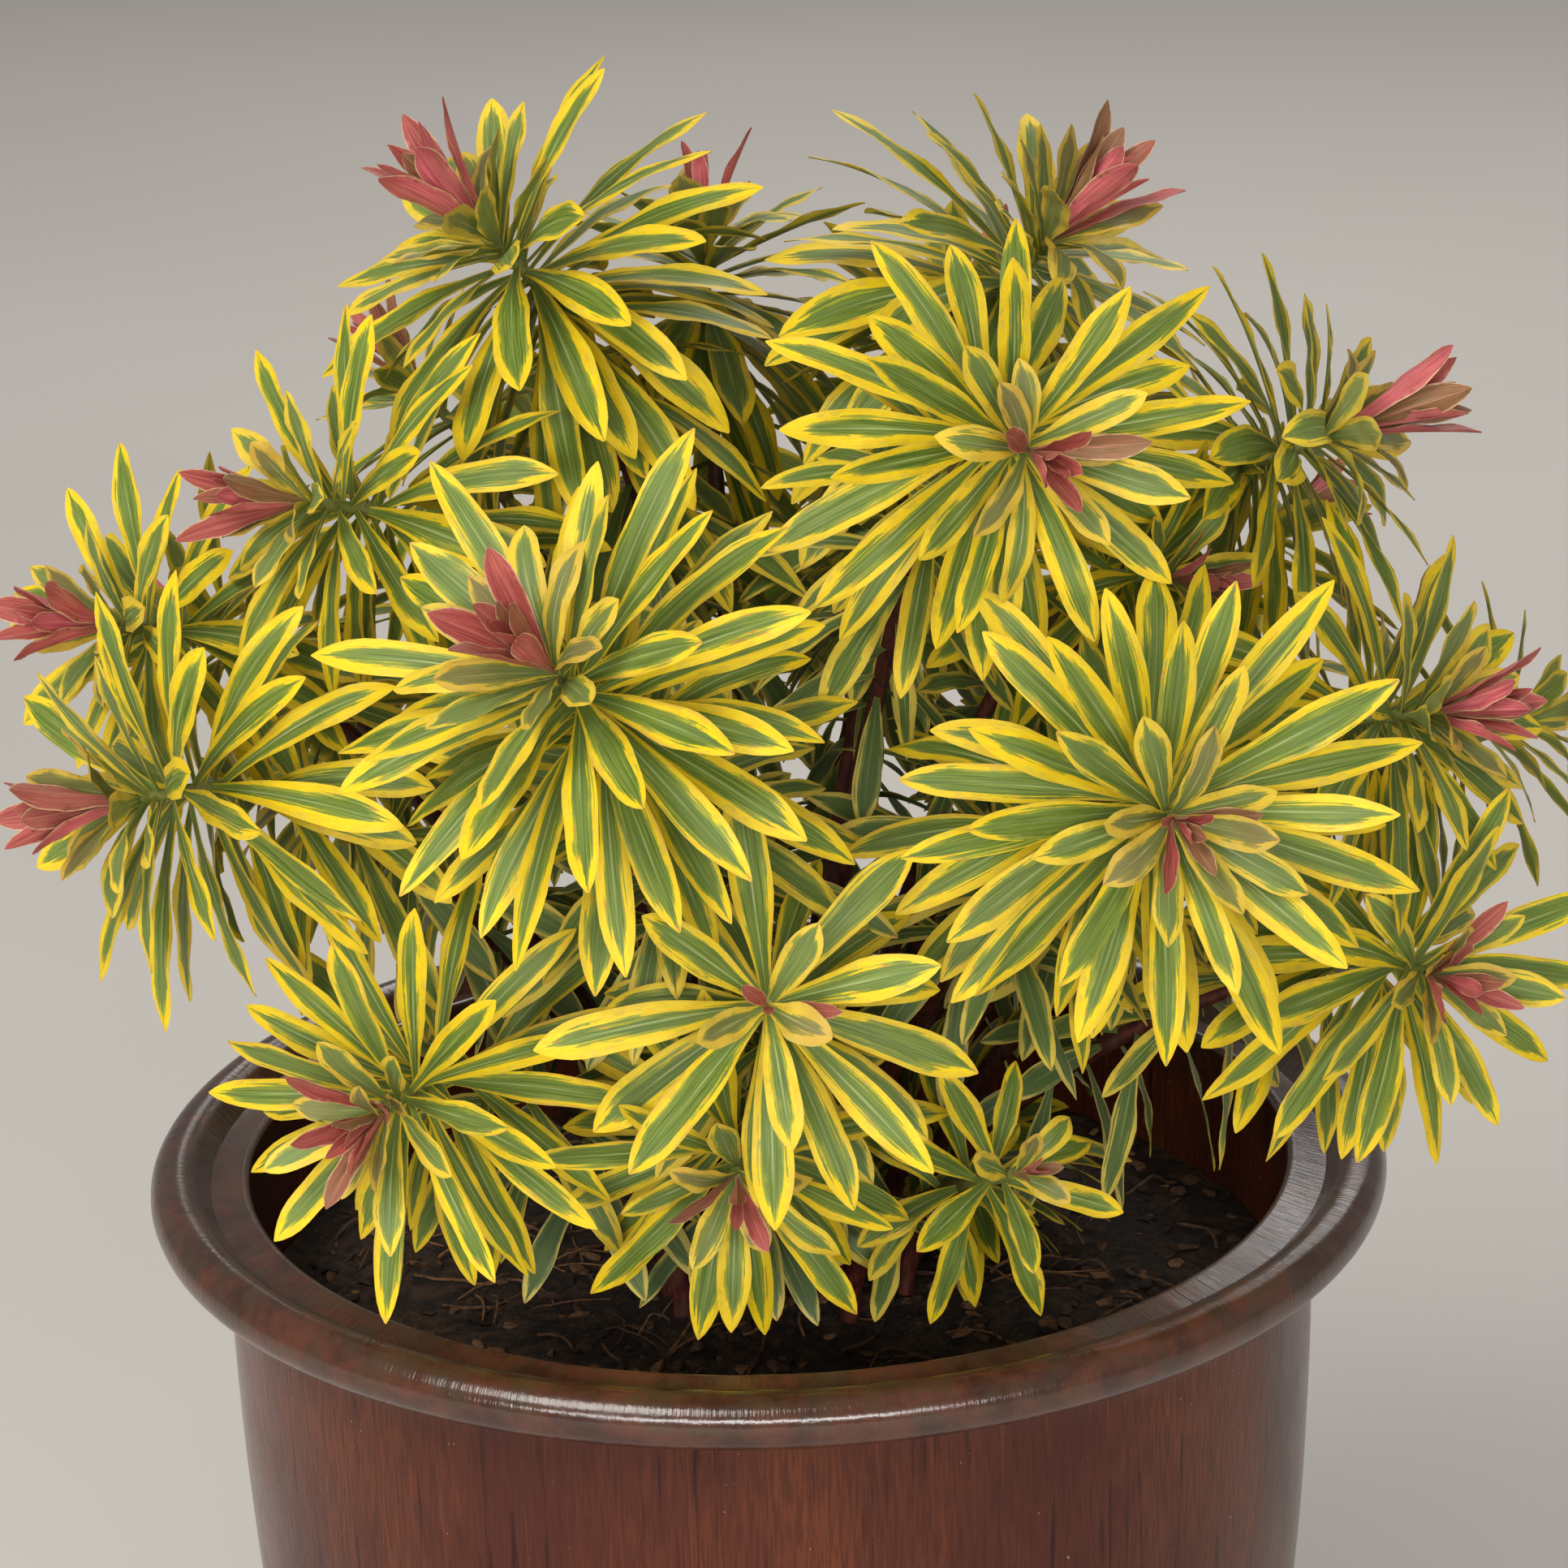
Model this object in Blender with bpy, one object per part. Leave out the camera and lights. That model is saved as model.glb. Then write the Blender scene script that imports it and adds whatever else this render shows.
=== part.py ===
"""Potted euphorbia: a glazed pot, its soil, and a clump of leafy shoots.

Units are metres, +Z is up. The origin is the middle of the pot's underside,
and the side that is seen first faces -Y. The object is free-standing.

Every shoot is two pieces: a woody stem that rises from the soil, and the
leafy head at its end, where the blades stand in whorls round the shoot.
"""
import math
from collections import namedtuple

import bmesh
import bpy
from mathutils import Vector

# ---- pot -------------------------------------------------------------------
BEAD_R = 0.0075            # rolled edge of the rim
BEAD_AXIS_R = 0.1625       # distance of the rolled edge from the pot's axis
BEAD_AXIS_Z = 0.2825
LIP_R = 0.1425             # inner edge of the rim
LIP_Z = 0.2860
LIP_ROUND = 0.0025
CHANNEL_R = 0.1530         # shallow channel between lip and rolled edge
CHANNEL_Z = 0.2840
NECK_Z = 0.2680            # where the body meets the underside of the rim
BODY_R = 0.1500            # widest part of the body, just under the rim
FOOT_R = 0.1130
BODY_SWELL = 2.3           # how soon the body reaches its full width
WALL = 0.0090
FLOOR = 0.0140
FOOT_EDGE = 0.0030
BODY_STATIONS = 9
TURN_STEPS = 48
DRAIN_HOLES = 3
DRAIN_R = 0.0065
DRAIN_CIRCLE_R = 0.0550

# ---- soil ------------------------------------------------------------------
GAP = 0.0003               # clearance between pieces that touch
SOIL_TOP = 0.2500
SOIL_FLAT_R = 0.0800       # level middle that the stems stand on
SOIL_EDGE_DROP = 0.0040

# ---- stems -----------------------------------------------------------------
STEM_BASE_R = 0.0029
STEM_TIP_R = 0.0020
STEM_SIDES = 6
STEM_RINGS = 9
CROWN_R = 0.0620           # the stems leave the soil inside this circle
CROWN_FULL_TILT = math.radians(85)
STEM_RISE = 0.34           # share of the length that leaves the soil upright
STEM_NOD = 0.20            # share of the length that follows the head

# ---- leafy heads -----------------------------------------------------------
CORE_BELOW = 0.0170        # leafy part of the shoot under its middle
CORE_ABOVE = 0.0070
CORE_R = 0.0030
CORE_TIP_R = 0.0017
CORE_SIDES = 6
BLADE_WIDTH_SHARE = 0.17   # blade width as a share of its length
BLADE_THICK = 0.0011
BLADE_ROOM = 0.0012        # clearance kept round every blade
SHORTEST_BLADE = 0.0140
SHRINK = 0.92
BUD_LENGTH_SHARE = 0.50
BUD_R = 0.0024

# blade angle from the shoot's axis in degrees, and share of full length
WHORLS = ((102, 0.96), (82, 1.00), (60, 0.90), (34, 0.68))
# station along the blade, and share of its full width there
BLADE_STATIONS = ((0.30, 0.45), (0.68, 1.00))
BLADE_DROOP = 0.16

# Each shoot: where the middle of its head is, the compass direction and the
# rise of the head's axis in degrees, and the length of its longest leaves.
Shoot = namedtuple("Shoot", "x y z heading rise leaf")
SHOOTS = (
    Shoot(-0.065, 0.000, 0.545, 198, 50, 0.064),    # tall, left
    Shoot(-0.010, 0.070, 0.525, 90, 80, 0.052),     # tall, middle, behind
    Shoot(0.080, 0.000, 0.540, -17, 50, 0.062),     # tall, right
    Shoot(0.068, -0.110, 0.515, -70, 5, 0.058),
    Shoot(0.107, -0.060, 0.466, -48, 10, 0.044),
    Shoot(0.152, -0.030, 0.494, -9, 22, 0.056),
    Shoot(0.170, -0.080, 0.434, -32, 14, 0.056),
    Shoot(0.210, 0.010, 0.400, 8, 15, 0.048),
    Shoot(0.100, -0.150, 0.434, -75, 6, 0.068),     # large, front right
    Shoot(0.169, -0.100, 0.371, -62, 8, 0.056),
    Shoot(-0.112, -0.060, 0.493, 212, 17, 0.046),
    Shoot(-0.166, -0.040, 0.455, 217, 17, 0.046),
    Shoot(-0.156, -0.105, 0.430, 211, 2, 0.054),
    Shoot(-0.048, -0.150, 0.476, 234, 42, 0.068),   # large, front left
    Shoot(-0.095, -0.130, 0.355, 243, 0, 0.058),
    Shoot(0.001, -0.165, 0.394, -90, 20, 0.050),
    Shoot(-0.008, -0.130, 0.334, -90, -10, 0.050),
    Shoot(0.063, -0.115, 0.326, -60, 27, 0.036),    # young side shoot
    Shoot(-0.090, 0.060, 0.490, 170, 50, 0.050),
    Shoot(0.062, 0.095, 0.495, 60, 45, 0.055),
    Shoot(0.145, 0.060, 0.440, 22, 25, 0.055),
    Shoot(-0.152, 0.050, 0.425, 162, 20, 0.055),
    Shoot(-0.055, 0.145, 0.445, 112, 25, 0.060),
    Shoot(0.045, 0.170, 0.415, 75, 20, 0.060),
    Shoot(-0.125, 0.125, 0.365, 135, 10, 0.055),
    Shoot(-0.035, 0.180, 0.350, 100, 5, 0.052),
    Shoot(0.130, 0.130, 0.365, 45, 10, 0.055),
    Shoot(0.178, 0.050, 0.340, 15, 8, 0.050),
)

# ---- finishes: base colour, roughness, metallic ----------------------------
GLAZE = ((0.085, 0.030, 0.016), 0.22, 0.0)
EARTH = ((0.018, 0.012, 0.008), 0.95, 0.0)
BARK = ((0.075, 0.018, 0.012), 0.55, 0.0)
LEAF = ((0.330, 0.360, 0.050), 0.50, 0.0)

UP = Vector((0.0, 0.0, 1.0))


def clear_scene():
    """Remove whatever the scene already holds."""
    for obj in list(bpy.data.objects):
        bpy.data.objects.remove(obj, do_unlink=True)


def finish(name, look):
    """A Principled material from a (colour, roughness, metallic) triple."""
    colour, roughness, metallic = look
    material = bpy.data.materials.new(name)
    material.use_nodes = True
    shader = material.node_tree.nodes["Principled BSDF"]
    shader.inputs["Base Color"].default_value = (*colour, 1.0)
    shader.inputs["Roughness"].default_value = roughness
    shader.inputs["Metallic"].default_value = metallic
    material.diffuse_color = (*colour, 1.0)
    return material


def add_object(name, bm, material, smooth_below=None):
    """Turn a bmesh into a named object with one material."""
    bmesh.ops.recalc_face_normals(bm, faces=bm.faces)
    mesh = bpy.data.meshes.new(name)
    bm.to_mesh(mesh)
    bm.free()
    mesh.materials.append(material)
    if smooth_below is not None:
        mesh.shade_smooth()
        mesh.set_sharp_from_angle(angle=math.radians(smooth_below))
    obj = bpy.data.objects.new(name, mesh)
    bpy.context.scene.collection.objects.link(obj)
    return obj


def turned(name, profile, material):
    """Revolve an (r, z) profile, listed from its inside to its outside."""
    mesh = bpy.data.meshes.new(name)
    edges = [(i, i + 1) for i in range(len(profile) - 1)]
    mesh.from_pydata([(r, 0.0, z) for r, z in profile], edges, [])
    mesh.materials.append(material)
    obj = bpy.data.objects.new(name, mesh)
    bpy.context.scene.collection.objects.link(obj)
    screw = obj.modifiers.new("Turn", "SCREW")
    screw.axis = "Z"
    screw.angle = math.tau
    screw.steps = TURN_STEPS
    screw.render_steps = TURN_STEPS
    screw.use_merge_vertices = True
    screw.merge_threshold = 0.00001
    screw.use_smooth_shade = True
    return obj


# ---- pot and soil ----------------------------------------------------------
def body_radius(z):
    """Outside radius of the pot's body at a height."""
    t = min(max(z / NECK_Z, 0.0), 1.0)
    return FOOT_R + (BODY_R - FOOT_R) * (1.0 - (1.0 - t) ** BODY_SWELL)


def arc(centre_r, centre_z, radius, start, end, steps):
    """Points (r, z) along an arc, its angles in degrees."""
    points = []
    for i in range(steps + 1):
        a = math.radians(start + (end - start) * i / steps)
        points.append((centre_r + radius * math.cos(a), centre_z + radius * math.sin(a)))
    return points


def inner_wall(z_low, z_high, offset):
    """Points up the inside of the wall, moved inwards by an offset."""
    points = []
    for i in range(BODY_STATIONS):
        z = z_low + (z_high - z_low) * i / (BODY_STATIONS - 1)
        points.append((body_radius(z) - WALL - offset, z))
    return points


def pot_profile():
    """From the middle of the inside floor, over the rim, to the underside."""
    profile = [(0.0, FLOOR)]
    profile += inner_wall(FLOOR, NECK_Z, 0.0)
    profile += arc(LIP_R + LIP_ROUND, LIP_Z - LIP_ROUND, LIP_ROUND, 180, 90, 2)
    profile += [(CHANNEL_R, CHANNEL_Z)]
    profile += arc(BEAD_AXIS_R, BEAD_AXIS_Z, BEAD_R, 130, -110, 8)
    for i in range(BODY_STATIONS):
        z = NECK_Z + (FOOT_EDGE - NECK_Z) * i / (BODY_STATIONS - 1)
        profile.append((body_radius(z), z))
    profile += [(FOOT_R - FOOT_EDGE, 0.0), (0.0, 0.0)]
    return profile


def make_pot(material):
    """The pot, with drain holes through its floor."""
    pot = turned("pot", pot_profile(), material)
    for i in range(DRAIN_HOLES):
        angle = math.tau * (i + 0.5) / DRAIN_HOLES
        bm = bmesh.new()
        bmesh.ops.create_cone(
            bm, cap_ends=True, segments=12, radius1=DRAIN_R, radius2=DRAIN_R, depth=4 * FLOOR
        )
        cutter = add_object(f"drain_cutter_{i + 1}", bm, material)
        cutter.location = (
            DRAIN_CIRCLE_R * math.cos(angle), DRAIN_CIRCLE_R * math.sin(angle), FLOOR / 2
        )
        cutter.hide_render = True
        cutter.display_type = "WIRE"
        cut = pot.modifiers.new(f"Drain {i + 1}", "BOOLEAN")
        cut.operation = "DIFFERENCE"
        cut.solver = "EXACT"
        cut.object = cutter
    return pot


def make_soil(material):
    """Soil that fills the pot, level in the middle and lower at the wall."""
    edge_z = SOIL_TOP - SOIL_EDGE_DROP
    wall = inner_wall(FLOOR + GAP, edge_z, GAP)
    profile = [(0.0, SOIL_TOP), (SOIL_FLAT_R, SOIL_TOP)]
    profile += list(reversed(wall))
    profile += [(0.0, FLOOR + GAP)]
    return turned("soil", profile, material)


# ---- shoots ----------------------------------------------------------------
def head_axis(shoot):
    """Unit vector along the leafy head, from its foot to its bud."""
    heading = math.radians(shoot.heading)
    rise = math.radians(shoot.rise)
    flat = math.cos(rise)
    return Vector((flat * math.cos(heading), flat * math.sin(heading), math.sin(rise)))


def head_middle(shoot):
    return Vector((shoot.x, shoot.y, shoot.z))


def stem_base(shoot):
    """The lower a head hangs outwards, the further out its stem starts."""
    reach = math.hypot(shoot.x, shoot.y)
    tilt = math.atan2(reach, shoot.z - SOIL_TOP)
    start = CROWN_R * min(tilt / CROWN_FULL_TILT, 1.0)
    return Vector((shoot.x / reach * start, shoot.y / reach * start, SOIL_TOP + GAP))


def stem_path(shoot):
    """Centre line from the soil to just under the head, on a Bezier curve."""
    foot = stem_base(shoot)
    axis = head_axis(shoot)
    top = head_middle(shoot) - axis * (CORE_BELOW + GAP)
    length = (top - foot).length
    rise = foot + UP * length * STEM_RISE
    nod = top - axis * length * STEM_NOD
    path = []
    for i in range(STEM_RINGS):
        t = i / (STEM_RINGS - 1)
        s = 1.0 - t
        path.append(s**3 * foot + 3 * s * s * t * rise + 3 * s * t * t * nod + t**3 * top)
    return path


def frame_along(direction):
    """Two unit vectors square to a direction."""
    side = direction.cross(UP)
    if side.length < 1e-6:
        side = Vector((1.0, 0.0, 0.0))
    side.normalize()
    return side, side.cross(direction).normalized()


def ring(bm, centre, direction, radius, sides, turn=0.0):
    """A closed loop of vertices square to a direction."""
    side, over = frame_along(direction)
    loop = []
    for i in range(sides):
        a = math.tau * i / sides + turn
        loop.append(bm.verts.new(centre + radius * (math.cos(a) * side + math.sin(a) * over)))
    return loop


def bridge(bm, lower, upper):
    """Faces between two loops with the same number of vertices."""
    faces = []
    count = len(lower)
    for i in range(count):
        j = (i + 1) % count
        faces.append(bm.faces.new((lower[i], lower[j], upper[j], upper[i])))
    return faces


def make_stem(name, path, axis, material):
    """A tapered woody stem, its foot level on the soil, its end square to the head."""
    bm = bmesh.new()
    loops = []
    last = len(path) - 1
    for i, point in enumerate(path):
        if i == 0:
            direction = UP
        elif i == last:
            direction = axis
        else:
            direction = (path[i + 1] - path[i - 1]).normalized()
        radius = STEM_BASE_R + (STEM_TIP_R - STEM_BASE_R) * i / last
        loops.append(ring(bm, point, direction, radius, STEM_SIDES))
    for lower, upper in zip(loops, loops[1:]):
        bridge(bm, lower, upper)
    bm.faces.new(loops[0])
    bm.faces.new(loops[-1])
    return add_object(name, bm, material, smooth_below=70)


def distance_to_path(point, path):
    """Least distance from a point to a centre line."""
    least = math.inf
    for a, b in zip(path, path[1:]):
        along = b - a
        t = min(max((point - a).dot(along) / along.length_squared, 0.0), 1.0)
        least = min(least, (point - a - along * t).length)
    return least


def over_pot(point, room):
    """Whether a point stays above the soil and the rim, by some room."""
    reach = math.hypot(point.x, point.y)
    outside = BEAD_AXIS_R + BEAD_R + room
    if reach > outside:
        return True
    floor = SOIL_TOP if reach < LIP_R - room else BEAD_AXIS_Z + BEAD_R
    return point.z > floor + room


def blade_points(root, outward, length):
    """Centre line of a blade: the root, the stations, and the tip."""
    points = []
    for share in [0.0] + [s for s, _ in BLADE_STATIONS] + [1.0]:
        points.append(root + length * (share * outward - BLADE_DROOP * share * share * UP))
    return points


def blade_is_clear(points, half_width, index, paths):
    """Whether a blade keeps to its own head's space.

    Heads share the space between them at the plane half way from one to the
    next, and a blade gives way to every other shoot's stem and to the pot.
    """
    own = head_middle(SHOOTS[index])
    room = half_width + BLADE_ROOM
    for other, path in enumerate(paths):
        away = head_middle(SHOOTS[other]) - own
        for point in points[1:]:
            if distance_to_path(point, path) < room + STEM_BASE_R:
                return False
            if other != index and (point - own).dot(away) > away.length * (away.length / 2 - room):
                return False
        for a, b in zip(points[1:], points[2:]):
            if distance_to_path((a + b) / 2, path) < half_width + STEM_BASE_R:
                return False
    return all(over_pot(point, room) for point in points[1:])


def grow_blade(bm, face, direction, length, axis, index, paths):
    """Extrude one blade from a face of the shoot, shortened to fit."""
    root = face.calc_center_median()
    while length > SHORTEST_BLADE:
        half_width = length * BLADE_WIDTH_SHARE / 2
        points = blade_points(root, direction, length)
        if blade_is_clear(points, half_width, index, paths):
            break
        length *= SHRINK
    else:
        return
    for i, (_, width_share) in enumerate(BLADE_STATIONS):
        along = (points[i + 2] - points[i]).normalized()
        across = along.cross(axis).normalized()
        over = across.cross(along).normalized()
        face = bmesh.ops.extrude_discrete_faces(bm, faces=[face])["faces"][0]
        place_section(face, points[i + 1], across, over, half_width * width_share)
    face = bmesh.ops.extrude_discrete_faces(bm, faces=[face])["faces"][0]
    bmesh.ops.pointmerge(bm, verts=list(face.verts), merge_co=points[-1])


def place_section(face, centre, across, over, half_width):
    """Lay a four-sided face out as the flat section of a blade."""
    middle = face.calc_center_median()
    verts = list(face.verts)
    for vert in verts:
        offset = vert.co - middle
        x = half_width if offset.dot(across) > 0.0 else -half_width
        y = BLADE_THICK / 2 if offset.dot(over) > 0.0 else -BLADE_THICK / 2
        vert.co = centre + across * x + over * y


def make_head(name, index, paths, material):
    """The leafy head of a shoot: a short core with whorls of blades."""
    shoot = SHOOTS[index]
    axis = head_axis(shoot)
    middle = head_middle(shoot)
    foot = middle - axis * CORE_BELOW
    bm = bmesh.new()
    loops = []
    bands = len(WHORLS)
    for i in range(bands + 1):
        t = i / bands
        centre = foot + axis * (CORE_BELOW + CORE_ABOVE) * t
        radius = CORE_R + (CORE_TIP_R - CORE_R) * t
        loops.append(ring(bm, centre, axis, radius, CORE_SIDES))
    for band, (angle, share) in enumerate(WHORLS):
        faces = bridge(bm, loops[band], loops[band + 1])
        for i in range(band % 2, CORE_SIDES, 2):
            radial = faces[i].calc_center_median() - middle
            radial -= axis * radial.dot(axis)
            radial.normalize()
            tilt = math.radians(angle)
            direction = math.cos(tilt) * axis + math.sin(tilt) * radial
            grow_blade(bm, faces[i], direction, share * shoot.leaf, axis, index, paths)
    bm.faces.new(loops[0])
    cap = bm.faces.new(loops[-1])
    grow_bud(bm, cap, axis, shoot.leaf * BUD_LENGTH_SHARE)
    return add_object(name, bm, material)


def grow_bud(bm, cap, axis, length):
    """The young leaves, still closed round the tip of the shoot."""
    root = cap.calc_center_median()
    scale = BUD_R / CORE_TIP_R
    face = bmesh.ops.extrude_discrete_faces(bm, faces=[cap])["faces"][0]
    for vert in face.verts:
        vert.co = root + (vert.co - root) * scale + axis * length * 0.45
    face = bmesh.ops.extrude_discrete_faces(bm, faces=[face])["faces"][0]
    bmesh.ops.pointmerge(bm, verts=list(face.verts), merge_co=root + axis * length)


def main():
    clear_scene()
    bark = finish("bark", BARK)
    leaf = finish("leaf", LEAF)
    make_pot(finish("glaze", GLAZE))
    make_soil(finish("earth", EARTH))
    paths = [stem_path(shoot) for shoot in SHOOTS]
    for index, path in enumerate(paths):
        make_stem(f"stem_{index + 1:02d}", path, head_axis(SHOOTS[index]), bark)
        make_head(f"leaves_{index + 1:02d}", index, paths, leaf)


main()
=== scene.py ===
"""Potted euphorbia: the look of every surface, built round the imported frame.

Metres, +Z up, the side that is seen first faces -Y. Each shoot's stem and head
are read from the frame; every leaf is then grown along them as a thin closed
blade that keeps clear of its neighbours.
"""

import math
import random

import bmesh
import bpy
import numpy as np
from mathutils import Matrix, Vector, noise
from mathutils.bvhtree import BVHTree


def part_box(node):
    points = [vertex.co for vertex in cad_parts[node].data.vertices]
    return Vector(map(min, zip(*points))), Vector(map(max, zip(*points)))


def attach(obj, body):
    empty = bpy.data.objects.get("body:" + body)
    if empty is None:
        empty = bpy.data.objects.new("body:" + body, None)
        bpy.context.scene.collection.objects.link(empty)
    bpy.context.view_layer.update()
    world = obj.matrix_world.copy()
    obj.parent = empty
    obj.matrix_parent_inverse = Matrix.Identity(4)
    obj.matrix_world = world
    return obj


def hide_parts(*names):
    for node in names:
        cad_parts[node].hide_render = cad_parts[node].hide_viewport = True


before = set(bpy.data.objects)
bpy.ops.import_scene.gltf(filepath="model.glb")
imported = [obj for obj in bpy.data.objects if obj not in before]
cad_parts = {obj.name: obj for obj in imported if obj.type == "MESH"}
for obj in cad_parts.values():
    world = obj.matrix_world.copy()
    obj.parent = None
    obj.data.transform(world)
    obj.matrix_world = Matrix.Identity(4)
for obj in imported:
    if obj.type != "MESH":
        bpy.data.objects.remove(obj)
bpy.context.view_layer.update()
pot_low, pot_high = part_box("pot")
soil_low, soil_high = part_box("soil")

UP = Vector((0.0, 0.0, 1.0))
SHOOTS = 28

# ---- how the frame's shoots are built (the same rules as the frame's) -------
HEAD_FOOT = 0.0173         # from the end of a stem to the middle of its head
STEM_RISE = 0.34
STEM_NOD = 0.20
STEM_BASE_R = 0.0029
STEM_TIP_R = 0.0020

# ---- pot -------------------------------------------------------------------
POT_STEPS = 192
BEAD_R = 0.0075
LIP_WIDTH = 0.0275         # from the outside of the rim to its inner edge
LIP_DROP = 0.0040          # the inner edge is lower than the rolled edge
CHANNEL_DROP = 0.0062
CHANNEL_WIDTH = 0.0165
NECK_DROP = 0.0220
BODY_INSET = 0.0200        # body radius under the rim, from the rim's outside
FOOT_R = 0.1130
BODY_SWELL = 2.3
WALL = 0.0090
FLOOR = 0.0140
FOOT_EDGE = 0.0030
DRAIN_HOLES = 3
DRAIN_R = 0.0065
DRAIN_CIRCLE_R = 0.0550

# ---- leaves ----------------------------------------------------------------
GOLDEN = math.pi * (3.0 - math.sqrt(5.0))
ALONG = 14                 # quads along a blade
ACROSS = 4                 # quads across a blade
BLADE_HALF_THICK = 0.00022


# ============================================================================
# material nodes
# ============================================================================
class Tree:
    """A material's node tree, with short ways to add nodes to it."""

    def __init__(self, name):
        self.material = bpy.data.materials.new(name)
        self.material.use_nodes = True
        self.nodes = self.material.node_tree.nodes
        self.links = self.material.node_tree.links
        self.shader = self.nodes["Principled BSDF"]

    def add(self, kind, inputs=None, **settings):
        """A node; its inputs are sockets to link or values to set."""
        made = self.nodes.new(kind)
        for key, value in settings.items():
            setattr(made, key, value)
        for key, value in (inputs or {}).items():
            self.put(made.inputs[key], value)
        return made

    def put(self, socket, value):
        if isinstance(value, bpy.types.NodeSocket):
            self.links.new(value, socket)
        else:
            socket.default_value = value

    def uv(self, name):
        return self.add("ShaderNodeUVMap", uv_map=name).outputs[0]

    def attribute(self, name):
        return self.add("ShaderNodeAttribute", attribute_name=name).outputs["Fac"]

    def position(self):
        return self.add("ShaderNodeTexCoord").outputs["Object"]

    def split(self, vector):
        made = self.add("ShaderNodeSeparateXYZ", {0: vector})
        return made.outputs[0], made.outputs[1], made.outputs[2]

    def join(self, x, y, z=0.0):
        return self.add("ShaderNodeCombineXYZ", {0: x, 1: y, 2: z}).outputs[0]

    def math(self, operation, a, b=0.0, c=0.0):
        made = self.add("ShaderNodeMath", {0: a, 1: b, 2: c}, operation=operation)
        return made.outputs[0]

    def step(self, value, low, high, to_low=0.0, to_high=1.0):
        """A smooth step from one value to another."""
        inputs = {"Value": value, "From Min": low, "From Max": high}
        inputs.update({"To Min": to_low, "To Max": to_high})
        made = self.add("ShaderNodeMapRange", inputs, interpolation_type="SMOOTHSTEP")
        return made.outputs[0]

    def mix(self, factor, a, b, blend="MIX"):
        """Mixes two colours, given as sockets or as sRGB triples 0 to 255."""
        made = self.add("ShaderNodeMix", data_type="RGBA", blend_type=blend)
        self.put(made.inputs[0], factor)
        self.put(made.inputs[6], a if isinstance(a, bpy.types.NodeSocket) else srgb(a))
        self.put(made.inputs[7], b if isinstance(b, bpy.types.NodeSocket) else srgb(b))
        return made.outputs[2]

    def noise(self, vector, scale, detail=3.0, roughness=0.55, distortion=0.0):
        inputs = {"Vector": vector, "Scale": scale, "Detail": detail}
        inputs.update({"Roughness": roughness, "Distortion": distortion})
        return self.add("ShaderNodeTexNoise", inputs).outputs[0]

    def stretch(self, vector, x, y, z):
        made = self.add("ShaderNodeMapping", {"Vector": vector, "Scale": (x, y, z)})
        return made.outputs[0]

    def bump(self, height, strength, distance):
        inputs = {"Height": height, "Strength": strength, "Distance": distance}
        self.put(self.shader.inputs["Normal"], self.add("ShaderNodeBump", inputs).outputs[0])

    def finish(self, **inputs):
        """Sets the shader's own sockets, underscores standing for spaces."""
        for key, value in inputs.items():
            self.put(self.shader.inputs[key.replace("_", " ")], value)
        return self.material


def srgb(colour):
    """An sRGB triple, 0 to 255, as a linear RGBA colour."""
    linear = []
    for value in colour:
        v = value / 255.0
        linear.append(v / 12.92 if v <= 0.04045 else ((v + 0.055) / 1.055) ** 2.4)
    return (*linear, 1.0)


# ============================================================================
# materials
# ============================================================================
def glaze_material():
    """Oxblood glaze: fine streaks that ran down, broken to olive on the rim."""
    t = Tree("oxblood_glaze")
    place = t.position()
    x, y, z = t.split(place)
    turn = t.math("ARCTAN2", x, t.math("MULTIPLY", y, -1.0))
    hairs = t.noise(t.join(t.math("MULTIPLY", turn, 62.0), t.math("MULTIPLY", z, 16.0)), 1.0, 4.0, 0.62)
    grain = t.noise(t.join(t.math("MULTIPLY", turn, 170.0), t.math("MULTIPLY", z, 75.0)), 1.0, 3.0, 0.6)
    clouds = t.noise(t.join(t.math("MULTIPLY", turn, 2.4), t.math("MULTIPLY", z, 6.0)), 1.0, 4.0, 0.6)
    body = t.mix(t.step(clouds, 0.36, 0.64), (78, 36, 26), (104, 54, 32))
    body = t.mix(t.step(grain, 0.38, 0.62, 0.0, 0.65), body, (64, 30, 22))
    body = t.mix(t.step(hairs, 0.56, 0.70, 0.0, 0.85), body, (40, 13, 12))
    body = t.mix(t.step(hairs, 0.42, 0.30, 0.0, 0.35), body, (118, 64, 38))
    speck = t.noise(place, 900.0, 1.0)
    body = t.mix(t.step(speck, 0.79, 0.83, 0.0, 0.7), body, (196, 180, 164))
    # the rim is darker, mottled with olive, and rusty where it is thin
    mottle = t.noise(place, 75.0, 5.0, 0.68)
    rim = t.mix(t.step(mottle, 0.36, 0.64), (58, 31, 22), (86, 48, 32))
    olive = t.math("MULTIPLY", t.step(t.noise(place, 120.0, 3.0), 0.44, 0.62), t.step(z, 0.2800, 0.2830))
    rim = t.mix(t.math("MULTIPLY", olive, 0.55), rim, (64, 52, 35))
    on_rim = t.step(z, 0.2672, 0.2735)
    colour = t.mix(on_rim, body, rim)
    t.bump(t.math("ADD", grain, t.math("MULTIPLY", mottle, 1.4)), 0.22, 0.0008)
    rough = t.step(t.noise(place, 45.0, 3.0), 0.3, 0.7, 0.14, 0.25)
    shine = t.math("MULTIPLY_ADD", on_rim, 0.50, 0.28)
    return t.finish(Base_Color=colour, Roughness=rough, Specular_IOR_Level=shine)


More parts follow.
